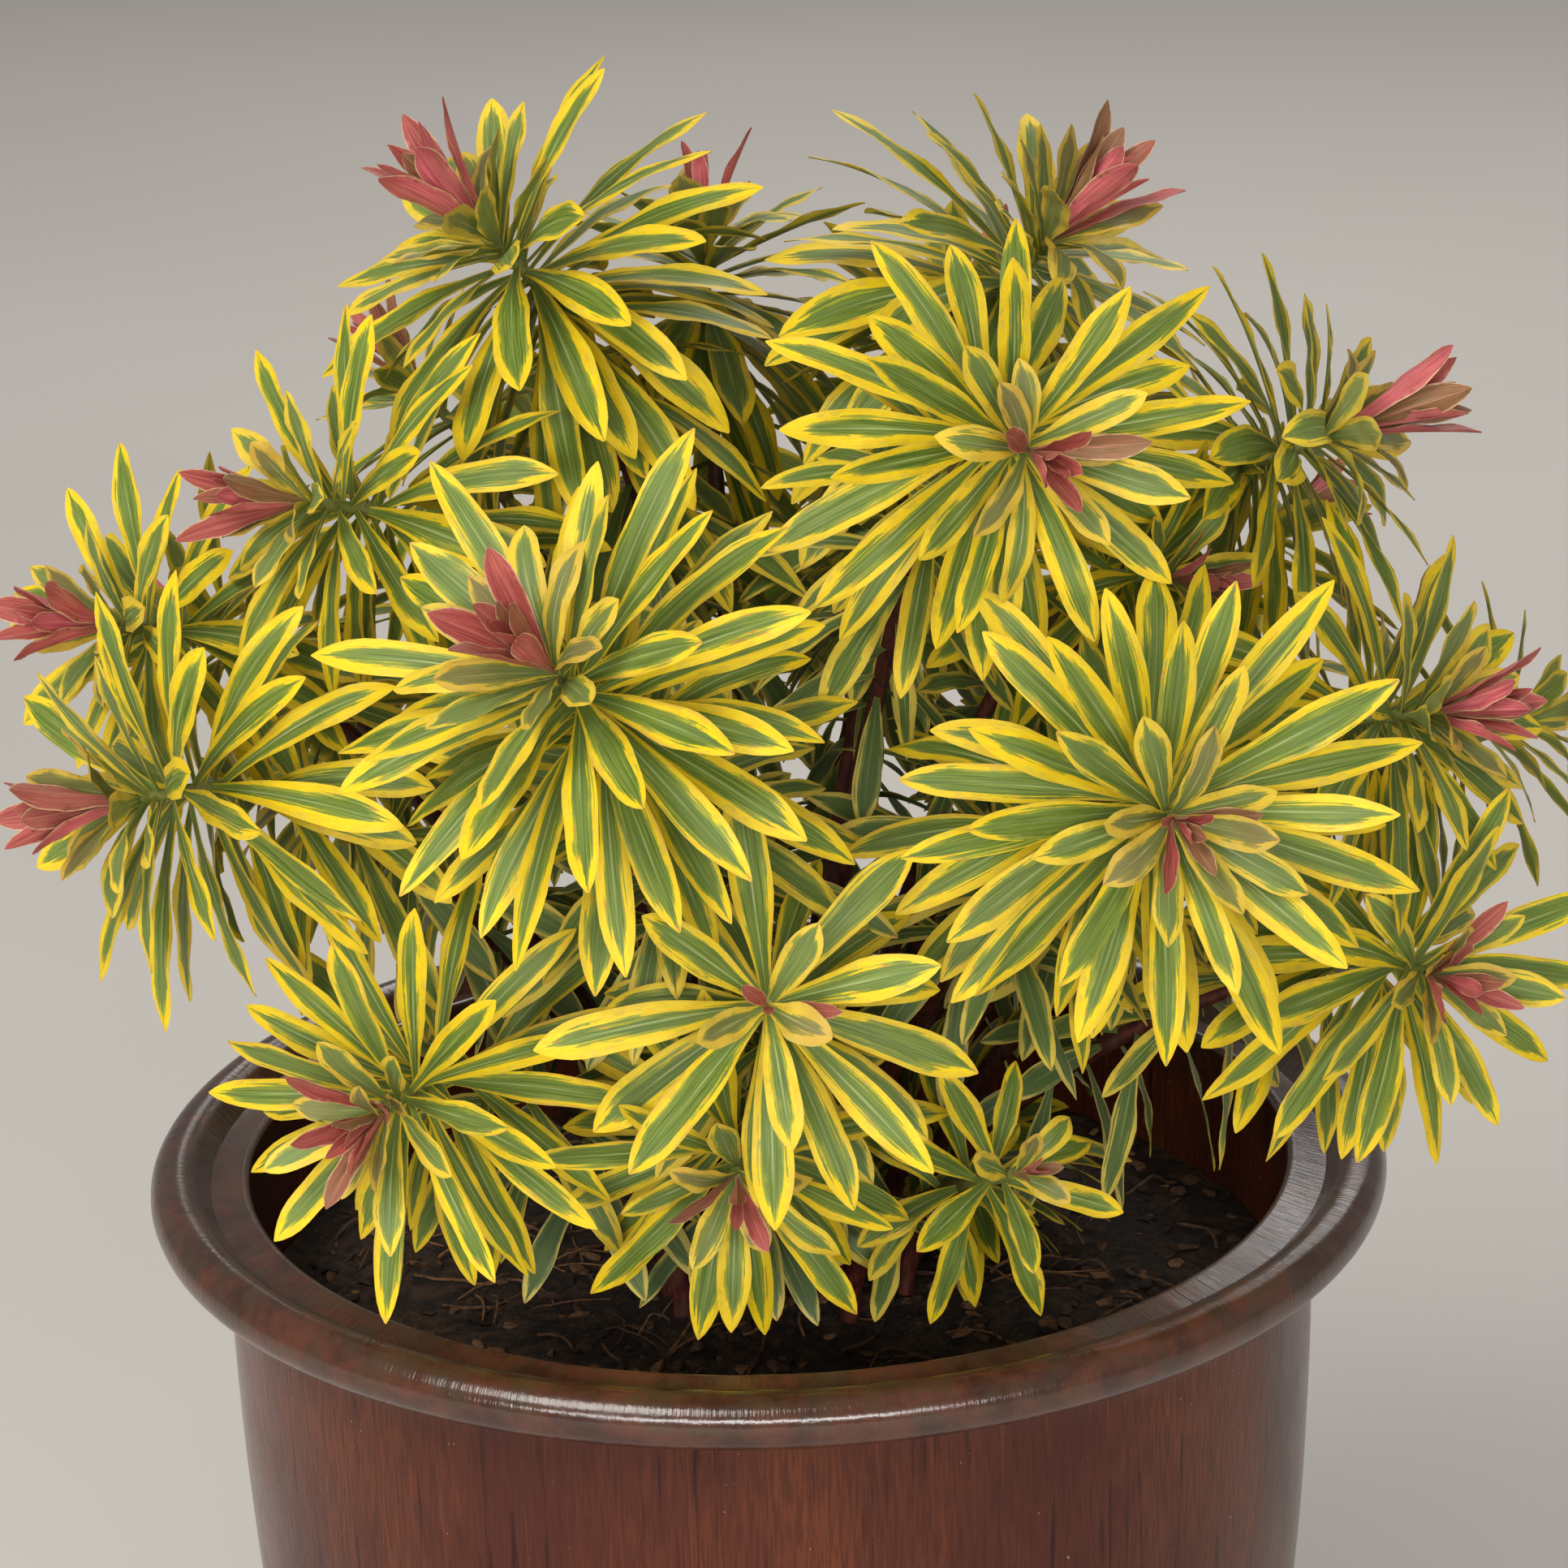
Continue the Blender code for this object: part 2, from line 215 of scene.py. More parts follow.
def soil_material():
    """Damp bark compost, almost black, with paler fibres in it."""
    t = Tree("bark_compost")
    place = t.position()
    lumps = t.noise(place, 210.0, 6.0, 0.7)
    fibre = t.noise(place, 620.0, 4.0, 0.7)
    patches = t.noise(place, 38.0, 3.0)
    colour = t.mix(t.step(lumps, 0.38, 0.62), (20, 13, 8), (74, 52, 34))
    colour = t.mix(t.step(patches, 0.48, 0.66, 0.0, 0.6), colour, (36, 23, 14))
    colour = t.mix(t.step(fibre, 0.58, 0.70, 0.0, 0.7), colour, (112, 84, 54))
    t.bump(t.math("ADD", lumps, t.math("MULTIPLY", fibre, 0.4)), 0.9, 0.0022)
    return t.finish(Base_Color=colour, Roughness=0.92)


def bark_chip_material():
    """Bark chips and root fibres that lie on the compost."""
    t = Tree("bark_chips")
    place = t.position()
    tone = t.attribute("tone")
    grain = t.noise(t.stretch(place, 1.0, 1.0, 3.0), 420.0, 4.0, 0.65)
    colour = t.mix(tone, (34, 22, 14), (138, 98, 64))
    colour = t.mix(t.step(grain, 0.42, 0.66, 0.0, 0.7), colour, (38, 24, 15))
    t.bump(grain, 0.6, 0.0006)
    return t.finish(Base_Color=colour, Roughness=0.85)


def stem_material():
    """Woody shoots: dark wine red, greener towards the leafy end."""
    t = Tree("stem_bark")
    place = t.position()
    green = t.attribute("green")
    grain = t.noise(t.stretch(place, 1.0, 1.0, 0.25), 620.0, 4.0, 0.6)
    patches = t.noise(place, 90.0, 3.0)
    colour = t.mix(t.step(grain, 0.35, 0.65), (58, 20, 16), (104, 44, 34))
    colour = t.mix(t.step(patches, 0.50, 0.68, 0.0, 0.5), colour, (84, 58, 36))
    colour = t.mix(green, colour, (120, 132, 62))
    t.bump(grain, 0.4, 0.0005)
    return t.finish(Base_Color=colour, Roughness=0.55)


def leaf_streaks(t):
    """What both leaf materials need: place across and along, and streaks."""
    u, v, _ = t.split(t.uv("Blade"))
    seed = t.attribute("seed")
    signed = t.math("MULTIPLY_ADD", u, 2.0, -1.0)
    across = t.math("ABSOLUTE", signed)
    shift = t.math("MULTIPLY", seed, 61.0)

    def streak(x_scale, y_scale, detail):
        place = t.join(t.math("MULTIPLY", u, x_scale), t.math("MULTIPLY", v, y_scale), shift)
        return t.noise(place, 1.0, detail, 0.6)

    return v, seed, signed, across, streak(2.2, 2.4, 2.0), streak(24.0, 2.6, 3.0), streak(9.0, 12.0, 2.0), streak


def leaf_material():
    """Variegated leaf: green middle, jagged yellow margins, pale midrib."""
    t = Tree("variegated_leaf")
    v, seed, signed, across, broad, veins, jag, streak = leaf_streaks(t)
    flame = streak(13.0, 1.7, 2.0)
    age = t.attribute("age")
    under = t.attribute("under")
    young = t.step(age, 0.26, 0.06)
    old = t.step(age, 0.66, 0.98)

    # where the yellow begins, from 0 at the midrib to 1 at the edge
    luck = t.math("FRACT", t.math("MULTIPLY", seed, 7.13))
    lean = t.math("SUBTRACT", t.math("FRACT", t.math("MULTIPLY", seed, 17.7)), 0.5)
    start = t.math("MULTIPLY_ADD", luck, 0.30, 0.47)
    start = t.math("MULTIPLY_ADD", t.math("MULTIPLY", lean, signed), 0.36, start)
    start = t.math("ADD", start, t.step(v, 0.30, 0.05, 0.0, 0.14))
    start = t.math("SUBTRACT", start, t.step(v, 0.78, 1.0, 0.0, 0.55))
    start = t.math("ADD", start, t.math("MULTIPLY", old, 0.18))
    wander = t.math("MULTIPLY_ADD", broad, 0.80, -0.40)
    wander = t.math("ADD", wander, t.math("MULTIPLY_ADD", flame, 0.95, -0.475))
    wander = t.math("ADD", wander, t.math("MULTIPLY_ADD", jag, 0.30, -0.15))
    edge = t.math("SUBTRACT", t.math("ADD", across, wander), start)
    yellow = t.step(edge, -0.03, 0.03)
    between = t.step(edge, -0.24, -0.05)

    green = t.mix(t.step(veins, 0.32, 0.68), (78, 102, 30), (126, 144, 58))
    green = t.mix(t.step(broad, 0.42, 0.64, 0.0, 0.50), green, (100, 122, 62))
    green = t.mix(t.math("MULTIPLY", young, 0.45), green, (126, 142, 88))
    green = t.mix(t.math("MULTIPLY", old, 0.65), green, (94, 116, 80))
    lime = t.mix(t.step(veins, 0.40, 0.60), (138, 150, 34), (180, 180, 56))
    lime = t.mix(t.math("MULTIPLY", old, 0.6), lime, (156, 170, 122))
    gold = t.mix(t.step(jag, 0.35, 0.66), (244, 210, 16), (236, 196, 22))
    gold = t.mix(t.step(veins, 0.54, 0.72, 0.0, 0.55), gold, (246, 222, 64))
    gold = t.mix(t.math("MULTIPLY", young, 0.38), gold, (216, 192, 96))
    gold = t.mix(t.math("MULTIPLY", old, 0.60), gold, (230, 222, 140))

    colour = t.mix(t.math("MULTIPLY", between, 0.70), green, lime)
    colour = t.mix(yellow, colour, gold)
    rib = t.math("MULTIPLY", t.step(across, 0.09, 0.02), t.step(v, 0.95, 0.45))
    rib = t.math("MULTIPLY", rib, t.step(flame, 0.40, 0.56, 0.15, 0.75))
    colour = t.mix(rib, colour, (176, 190, 124))
    # brown dashes along the boundary, most of them near the tip
    dash = t.math("MULTIPLY", t.step(jag, 0.56, 0.64), t.step(t.math("ABSOLUTE", edge), 0.09, 0.03))
    dash = t.math("MULTIPLY", dash, t.step(v, 0.35, 0.85, 0.15, 0.85))
    colour = t.mix(dash, colour, (168, 120, 56))
    # a rosy tinge at the tips and edges of some leaves
    blush = t.math("MULTIPLY", t.step(across, 0.78, 1.0), t.step(broad, 0.50, 0.62))
    blush = t.math("MAXIMUM", blush, t.math("MULTIPLY", t.step(v, 0.95, 1.0), 0.8))
    blush = t.math("MULTIPLY", blush, t.step(luck, 0.35, 0.95, 0.12, 0.60))
    colour = t.mix(blush, colour, (200, 140, 70))
    maroon = t.math("MULTIPLY", t.step(age, 0.12, 0.02), t.step(v, 0.15, 0.80))
    colour = t.mix(t.math("MULTIPLY", maroon, 0.38), colour, (132, 74, 60))
    foot = t.step(v, 0.16, 0.0, 0.0, 0.6)
    colour = t.mix(foot, colour, (136, 152, 62))
    pale = t.mix(0.5, colour, (150, 160, 100))
    colour = t.mix(t.math("MULTIPLY", under, 0.70), colour, pale)

    t.bump(t.math("SUBTRACT", veins, t.math("MULTIPLY", rib, 1.2)), 0.35, 0.0003)
    rough = t.step(broad, 0.3, 0.7, 0.44, 0.58)
    return t.finish(
        Base_Color=colour, Roughness=rough, Specular_IOR_Level=0.36,
        Subsurface_Weight=0.10, Subsurface_Radius=(0.0012, 0.0014, 0.0003), Subsurface_Scale=1.0,
    )


def young_leaf_material():
    """The tuft at the tip: maroon inside, raspberry outside, pale edges."""
    t = Tree("young_leaf")
    v, seed, signed, across, broad, veins, jag, streak = leaf_streaks(t)
    tone = t.attribute("tone")
    under = t.step(t.attribute("under"), 0.15, 0.45)
    rose = t.mix(t.step(veins, 0.32, 0.68), (180, 72, 86), (216, 120, 122))
    rose = t.mix(t.step(v, 0.75, 1.0, 0.0, 0.55), rose, (136, 52, 56))
    maroon = t.mix(t.step(veins, 0.32, 0.68), (142, 60, 58), (188, 98, 88))
    body = t.mix(t.math("MULTIPLY", under, t.step(tone, 0.95, 0.45)), maroon, rose)
    bronze = t.mix(t.step(veins, 0.32, 0.68), (104, 96, 54), (140, 116, 76))
    body = t.mix(t.math("MULTIPLY", t.step(tone, 0.50, 0.95), 0.75), body, bronze)
    body = t.mix(t.step(broad, 0.52, 0.70, 0.0, 0.45), body, (158, 98, 78))
    body = t.mix(t.step(v, 0.36, 0.02, 0.0, 0.75), body, (162, 132, 98))
    edge = t.step(t.math("MULTIPLY_ADD", jag, 0.26, across), 1.00, 1.10)
    body = t.mix(t.math("MULTIPLY", edge, 0.80), body, (226, 186, 140))
    rib = t.math("MULTIPLY", t.step(across, 0.12, 0.03), 0.30)
    body = t.mix(rib, body, (206, 142, 124))
    t.bump(veins, 0.40, 0.0004)
    return t.finish(
        Base_Color=body, Roughness=0.50, Specular_IOR_Level=0.36,
        Subsurface_Weight=0.10, Subsurface_Radius=(0.0016, 0.0006, 0.0005), Subsurface_Scale=1.0,
    )


def floor_material():
    """Plain pale studio floor."""
    t = Tree("studio_floor")
    tone = t.noise(t.position(), 1.4, 2.0)
    colour = t.mix(t.step(tone, 0.3, 0.7), (203, 199, 193), (207, 203, 198))
    return t.finish(Base_Color=colour, Roughness=0.75)


# ============================================================================
# meshes
# ============================================================================
def add_piece(name, mesh, material, replaced, smooth_below=None):
    """A finished piece that rides on the part's one body."""
    mesh.materials.append(material)
    if smooth_below is not None:
        mesh.shade_smooth()
        mesh.set_sharp_from_angle(angle=math.radians(smooth_below))
    piece = bpy.data.objects.new(name, mesh)
    bpy.context.scene.collection.objects.link(piece)
    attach(piece, "root")
    if replaced:
        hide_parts(*replaced)
    return piece


def arc(centre_r, centre_z, radius, start, end, steps):
    """Points (r, z) along an arc, its angles in degrees."""
    points = []
    for i in range(steps + 1):
        a = math.radians(start + (end - start) * i / steps)
        points.append((centre_r + radius * math.cos(a), centre_z + radius * math.sin(a)))
    return points


def turned_mesh(name, profile, steps, wobble=None):
    """Revolve a closed (r, z) outline whose first and last points are on the axis."""
    bm = bmesh.new()
    rings = []
    for r, z in profile:
        if r < 1e-9:
            rings.append([bm.verts.new((0.0, 0.0, z))])
            continue
        ring = []
        for k in range(steps):
            a = math.tau * k / steps
            grow = wobble(a, r, z) if wobble else 0.0
            ring.append(bm.verts.new(((r + grow) * math.cos(a), (r + grow) * math.sin(a), z)))
        rings.append(ring)
    for lower, upper in zip(rings, rings[1:]):
        for k in range(steps):
            j = (k + 1) % steps
            if len(lower) == 1:
                bm.faces.new((lower[0], upper[k], upper[j]))
            elif len(upper) == 1:
                bm.faces.new((lower[k], upper[0], lower[j]))
            else:
                bm.faces.new((lower[k], upper[k], upper[j], lower[j]))
    bmesh.ops.recalc_face_normals(bm, faces=bm.faces)
    mesh = bpy.data.meshes.new(name)
    bm.to_mesh(mesh)
    bm.free()
    return mesh


# ============================================================================
# pot and soil
# ============================================================================
def pot_sizes():
    """Rim radius and height, from the frame."""
    return (pot_high.x - pot_low.x) / 2, pot_high.z


def body_radius(z):
    """Outside radius of the pot's body at a height."""
    rim_r, top = pot_sizes()
    widest = rim_r - BODY_INSET
    t = min(max(z / (top - NECK_DROP), 0.0), 1.0)
    return FOOT_R + (widest - FOOT_R) * (1.0 - (1.0 - t) ** BODY_SWELL)


def pot_outline():
    """From the middle of the inside floor, over the rim, to the underside."""
    rim_r, top = pot_sizes()
    neck = top - NECK_DROP
    outline = [(0.0, FLOOR)]
    for i in range(25):
        z = FLOOR + (neck - FLOOR) * i / 24
        outline.append((body_radius(z) - WALL, z))
    lip = rim_r - LIP_WIDTH
    outline += arc(lip + 0.0022, top - LIP_DROP - 0.0022, 0.0022, 180, 70, 8)
    outline += [(rim_r - CHANNEL_WIDTH - 0.003, top - CHANNEL_DROP + 0.0006)]
    outline += [(rim_r - CHANNEL_WIDTH, top - CHANNEL_DROP)]
    outline += arc(rim_r - BEAD_R, top - BEAD_R, BEAD_R, 145, -95, 26)
    outline += arc(rim_r - 0.0145, neck + 0.0010, 0.0055, 60, -180, 1)[:1]
    outline += [(rim_r - 0.0150, neck + 0.0048), (rim_r - 0.0185, neck + 0.0022)]
    for i in range(41):
        z = neck + (FOOT_EDGE - neck) * i / 40
        outline.append((body_radius(z), z))
    outline += arc(FOOT_R - FOOT_EDGE, FOOT_EDGE, FOOT_EDGE, -20, -90, 4)
    outline += [(0.0, 0.0)]
    return outline


def thrown(angle, r, z):
    """The slight unevenness that a thrown and glazed pot has."""
    if r < 0.02 or z < 0.004:
        return 0.0
    wave = noise.noise(Vector((math.cos(angle) * 1.4, math.sin(angle) * 1.4, z * 9.0)))
    ripple = noise.noise(Vector((math.cos(angle) * 6.0, math.sin(angle) * 6.0, z * 40.0)))
    return 0.00035 * wave + 0.00012 * ripple


def make_pot():
    """The glazed pot, with its drain holes cut through the floor."""
    mesh = turned_mesh("pot_shell", pot_outline(), POT_STEPS, thrown)
    pot = add_piece("pot_shell", mesh, glaze_material(), ["pot"], 40)
    for i in range(DRAIN_HOLES):
        angle = math.tau * (i + 0.5) / DRAIN_HOLES
        bm = bmesh.new()
        place = (DRAIN_CIRCLE_R * math.cos(angle), DRAIN_CIRCLE_R * math.sin(angle), FLOOR / 2)
        bmesh.ops.create_cone(
            bm, cap_ends=True, segments=32, radius1=DRAIN_R, radius2=DRAIN_R,
            depth=4 * FLOOR, matrix=Matrix.Translation(place),
        )
        tool_mesh = bpy.data.meshes.new("drain_tool")
        bm.to_mesh(tool_mesh)
        bm.free()
        tool = bpy.data.objects.new("drain_tool", tool_mesh)
        bpy.context.scene.collection.objects.link(tool)
        cut = pot.modifiers.new("Drain", "BOOLEAN")
        cut.operation = "DIFFERENCE"
        cut.solver = "EXACT"
        cut.object = tool
        bpy.context.view_layer.objects.active = pot
        with bpy.context.temp_override(object=pot, active_object=pot):
            bpy.ops.object.modifier_apply(modifier=cut.name)
        bpy.data.objects.remove(tool)
    return pot


def soil_height(x, y, r):
    """Height of the compost, uneven and a little lower near the wall."""
    lumps = noise.fractal(Vector((x * 55.0, y * 55.0, 3.0)), 0.8, 2.1, 5)
    swell = noise.noise(Vector((x * 14.0, y * 14.0, 8.0)))
    edge = max(0.0, (r - 0.085) / 0.055)
    return soil_high.z - 0.004 * edge * edge + 0.0016 * lumps + 0.0022 * swell


def make_soil():
    """Compost up to just under the rim, with an uneven top."""
    low, high = soil_low, soil_high
    gap = 0.0004
    bm = bmesh.new()
    steps, rings = 160, 90
    reach = body_radius(high.z - 0.004) - WALL - gap
    top_rings = []
    for i in range(1, rings + 1):
        r = reach * i / rings
        ring = []
        for k in range(steps):
            a = math.tau * k / steps
            x, y = r * math.cos(a), r * math.sin(a)
            ring.append(bm.verts.new((x, y, soil_height(x, y, r))))
        top_rings.append(ring)
    for i in range(1, 13):
        z = high.z - 0.012 + (low.z - high.z + 0.012) * i / 12
        r = body_radius(z) - WALL - gap
        ring = [bm.verts.new((r * math.cos(math.tau * k / steps), r * math.sin(math.tau * k / steps), z))
                for k in range(steps)]
        top_rings.append(ring)
    centre = bm.verts.new((0.0, 0.0, soil_height(0.0, 0.0, 0.0)))
    for k in range(steps):
        bm.faces.new((centre, top_rings[0][k], top_rings[0][(k + 1) % steps]))
    for inner, outer in zip(top_rings, top_rings[1:]):
        for k in range(steps):
            j = (k + 1) % steps
            bm.faces.new((inner[k], outer[k], outer[j], inner[j]))
    bm.faces.new(list(reversed(top_rings[-1])))
    bmesh.ops.recalc_face_normals(bm, faces=bm.faces)
    mesh = bpy.data.meshes.new("compost")
    bm.to_mesh(mesh)
    bm.free()
    return add_piece("compost", mesh, soil_material(), ["soil"], 80)


def make_litter():
    """Bark chips and thin fibres lying on the compost."""
    rng = random.Random(41)
    bm = bmesh.new()
    tone = bm.verts.layers.float.new("tone")
    for _ in range(900):
        r = 0.134 * math.sqrt(rng.random())
        a = rng.random() * math.tau
        x, y = r * math.cos(a), r * math.sin(a)
        size = rng.uniform(0.0016, 0.0060)
        place = Vector((x, y, soil_height(x, y, r) + size * 0.12))
        spin = Matrix.Rotation(rng.random() * math.tau, 4, "Z")
        tip = Matrix.Rotation(rng.uniform(-0.5, 0.5), 4, "X")
        shape = Matrix.Diagonal((size, size * rng.uniform(0.35, 0.7), size * rng.uniform(0.16, 0.35), 1.0))
        made = bmesh.ops.create_icosphere(
            bm, subdivisions=1, radius=0.7, matrix=Matrix.Translation(place) @ spin @ tip @ shape
        )
        shade = rng.random() ** 2
        for vert in made["verts"]:
            vert.co += Vector((rng.uniform(-1, 1), rng.uniform(-1, 1), rng.uniform(-1, 1))) * size * 0.12
            vert[tone] = shade
    for _ in range(170):
        r = 0.120 * math.sqrt(rng.random())
        a = rng.random() * math.tau
        point = Vector((r * math.cos(a), r * math.sin(a), 0.0))
        heading = rng.random() * math.tau
        bend = rng.uniform(-0.5, 0.5)
        length = rng.uniform(0.010, 0.030)
        thick = rng.uniform(0.00022, 0.00055)
        lift = rng.uniform(0.0, 0.0035)
        shade = rng.uniform(0.3, 1.0)
        path = []
        for k in range(9):
            reach = math.hypot(point.x, point.y)
            height = soil_height(point.x, point.y, reach) + thick + lift * math.sin(math.pi * k / 8)
            path.append(Vector((point.x, point.y, height)))
            heading += bend * 0.35 + rng.uniform(-0.12, 0.12)
            point = point + Vector((math.cos(heading), math.sin(heading), 0.0)) * length / 8
        if math.hypot(point.x, point.y) > 0.134:
            continue
        for vert in tube(bm, path, lambda t: thick, 5):
            vert[tone] = shade
    mesh = bpy.data.meshes.new("bark_litter")
    bm.to_mesh(mesh)
    bm.free()
    return add_piece("bark_litter", mesh, bark_chip_material(), [], 50)


# ============================================================================
# shoots, read from the frame
# ============================================================================
class ShootPath:
    """One shoot: its centre line, and the place and axis of its head."""

    def __init__(self, number):
        self.number = number
        foot, _, top, axis = stem_caps(f"stem_{number:02d}")
        self.axis = axis
        self.middle = top + axis * HEAD_FOOT
        length = (top - foot).length
        rise = foot + UP * length * STEM_RISE
        nod = top - axis * length * STEM_NOD
        self.line = []
        for i in range(41):
            t = i / 40
            s = 1.0 - t
            self.line.append(s**3 * foot + 3 * s * s * t * rise + 3 * s * t * t * nod + t**3 * top)
        self.line.append(self.middle + axis * 0.004)
        self.lengths = [0.0]
        for a, b in zip(self.line, self.line[1:]):
            self.lengths.append(self.lengths[-1] + (b - a).length)
        self.length = self.lengths[-1]

    def at(self, below_top):
        """Place and direction on the shoot, so far below its tip."""
        want = max(self.length - below_top, 0.0)
        for i in range(len(self.line) - 1):
            if self.lengths[i + 1] >= want or i == len(self.line) - 2:
                span = self.lengths[i + 1] - self.lengths[i]
                t = (want - self.lengths[i]) / span
                a, b = self.line[i], self.line[i + 1]
                return a.lerp(b, t), (b - a).normalized()
        return self.line[-1], self.axis


def stem_caps(node):
    """Centre and outward normal of a stem's two flat ends, foot first."""
    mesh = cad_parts[node].data
    flats = []
    for face in mesh.polygons:
        offset = face.normal.dot(face.center)
        for flat in flats:
            if flat[0].dot(face.normal) > 0.99999 and abs(flat[1] - offset) < 0.00002:
                flat[2].append(face)
                break
        else:
            flats.append((face.normal.copy(), offset, [face]))
    flats.sort(key=lambda flat: -len(flat[2]))
    ends = []
    for normal, _, faces in flats[:2]:
        corners = {tuple(round(c, 6) for c in mesh.vertices[v].co) for f in faces for v in f.vertices}
        ends.append((sum((Vector(c) for c in corners), Vector()) / len(corners), normal))
    ends.sort(key=lambda end: end[0].z)
    return (*ends[0], *ends[1])


def square_frame(direction):
    """Two unit vectors square to a direction."""
    side = direction.cross(UP)
    if side.length < 1e-6:
        side = Vector((1.0, 0.0, 0.0))
    side.normalize()
    return side, side.cross(direction).normalized()


def tube(bm, path, radius_at, sides):
    """A closed tube along a path; radius_at takes 0 at the start to 1."""
    rings = []
    last = len(path) - 1
    side, over = square_frame((path[1] - path[0]).normalized())
    for i, point in enumerate(path):
        along = (path[min(i + 1, last)] - path[max(i - 1, 0)]).normalized()
        side = (side - along * side.dot(along)).normalized()
        over = along.cross(side).normalized()
        r = radius_at(i / last)
        ring = []
        for k in range(sides):
            a = math.tau * k / sides
            ring.append(bm.verts.new(point + r * (math.cos(a) * side + math.sin(a) * over)))
        rings.append(ring)
    for lower, upper in zip(rings, rings[1:]):
        for k in range(sides):
            j = (k + 1) % sides
            bm.faces.new((lower[k], lower[j], upper[j], upper[k]))
    bm.faces.new(list(reversed(rings[0])))
    bm.faces.new(rings[-1])
    return [vert for ring in rings for vert in ring]


def make_stem(shoot, material):
    """A woody stem with the low scars that fallen leaves leave on it."""
    path = shoot.line[:-1]
    end = shoot.middle - shoot.axis * 0.002
    path = path + [end]
    total = len(path) - 1

    def radius(t):
        plain = STEM_BASE_R + (STEM_TIP_R - STEM_BASE_R) * t
        scar = math.sin(t * 60.0 + shoot.number) * 0.06 + math.sin(t * 171.0) * 0.04
        return plain * (0.96 + scar) * (1.0 if t < 0.97 else 0.8)

    fine = []
    for a, b in zip(path, path[1:]):
        fine += [a, a.lerp(b, 0.5)]
    fine.append(path[-1])
    bm = bmesh.new()
    green = bm.verts.layers.float.new("green")
    verts = tube(bm, fine, radius, 12)
    for i, vert in enumerate(verts):
        t = (i // 12) / (len(fine) - 1)
        vert[green] = min(max((t - 0.72) / 0.22, 0.0), 1.0) * 0.8
    bmesh.ops.recalc_face_normals(bm, faces=bm.faces)
    name = f"woody_stem_{shoot.number:02d}"
    mesh = bpy.data.meshes.new(name)
    bm.to_mesh(mesh)
    bm.free()
    return add_piece(name, mesh, material, [f"stem_{shoot.number:02d}"], 60)


# ============================================================================
# leaves
# ============================================================================
def blade_width(t):
    """Width of a blade along its length, as a share of its widest place."""
    if t <= 0.64:
        return 0.22 + 0.78 * smooth(t / 0.64) ** 0.9
    s = (t - 0.64) / 0.36
    return max((1.0 - s**2.6) ** 0.78, 0.05)


def stations(along):
    """Places along a blade, closer together towards its tip."""
    return [1.0 - (1.0 - i / along) ** 1.25 for i in range(along + 1)]


def smooth(x):
    x = min(max(x, 0.0), 1.0)
    return x * x * (3.0 - 2.0 * x)


class Leaf:
    """One blade's shape: where it starts, how it leans, bends and folds."""

    def __init__(self, root, axis, turn, tilt, recurve, length, width, fold, droop, twist, seed, age):
        self.root, self.axis, self.turn, self.tilt = root, axis, turn, tilt
        self.recurve, self.length, self.width = recurve, length, width
        self.fold, self.droop, self.twist, self.seed, self.age = fold, droop, twist, seed, age

    def grid(self, along, across):
        """Points of the blade's upper side, and its normals, as arrays."""
        side, over = square_frame(self.axis)
        radial = math.cos(self.turn) * side + math.sin(self.turn) * over
        wave = self.seed * 40.0
        point = self.root.copy()
        rows, normals = [], []
        places = stations(along)
        for t, following in zip(places, places[1:] + [1.0]):
            tilt = self.tilt + self.recurve * t**1.4
            d = math.cos(tilt) * self.axis + math.sin(tilt) * radial
            d = (d - UP * self.droop * t).normalized()
            n = math.sin(tilt) * self.axis - math.cos(tilt) * radial
            n = (n - d * n.dot(d)).normalized()
            b = d.cross(n).normalized()
            spin = self.twist * t
            n, b = n * math.cos(spin) + b * math.sin(spin), b * math.cos(spin) - n * math.sin(spin)
            waist = 1.0 + 0.05 * math.sin(wave * 3.0 + t * 13.0)
            half = self.width / 2 * blade_width(t) * waist
            fold = self.fold * (1.0 - 0.55 * t)
            row = []
            for k in range(across + 1):
                v = 2.0 * k / across - 1.0
                lift = math.sin(fold) * abs(v) - 0.10 * v * v
                ripple = 0.11 * math.sin(wave + t * 17.0 + v * 2.2) * abs(v) * smooth(t * 3.0)
                row.append(point + b * (half * v * math.cos(fold)) + n * half * (lift + ripple))
            rows.append(row)
            normals.append(n)
            point = point + d * self.length * (following - t)
        return rows, normals


def leaf_surface(leaf):
    """A quick stand-in of the blade, for telling whether two blades cross."""
    rows, _ = leaf.grid(7, 2)
    verts = [p for row in rows[1:] for p in row]
    faces = []
    for i in range(len(rows) - 2):
        for k in range(2):
            a = i * 3 + k
            faces.append((a, a + 1, a + 4, a + 3))
    return verts, faces


class Thicket:
    """All blades placed so far, and the solid things they must stay clear of."""

    def __init__(self):
        self.trees, self.lows, self.highs, self.owners = [], [], [], []

    def add(self, verts, faces, owner):
        coordinates = np.array(verts)
        self.trees.append(BVHTree.FromPolygons(verts, faces))
        self.lows.append(coordinates.min(0))
        self.highs.append(coordinates.max(0))
        self.owners.append(owner)

    def crossings(self, verts, faces, owner, skip_owner_solids=True):
        """How many faces of a blade cut what is already there."""
        coordinates = np.array(verts)
        low, high = coordinates.min(0), coordinates.max(0)
        lows, highs = np.array(self.lows), np.array(self.highs)
        near = np.where(((lows <= high) & (highs >= low)).all(1))[0]
        tree = BVHTree.FromPolygons(verts, faces)
        count = 0
        for i in near:
            if self.owners[i] == ("stem", owner):
                continue
            count += len(tree.overlap(self.trees[i]))
        return count


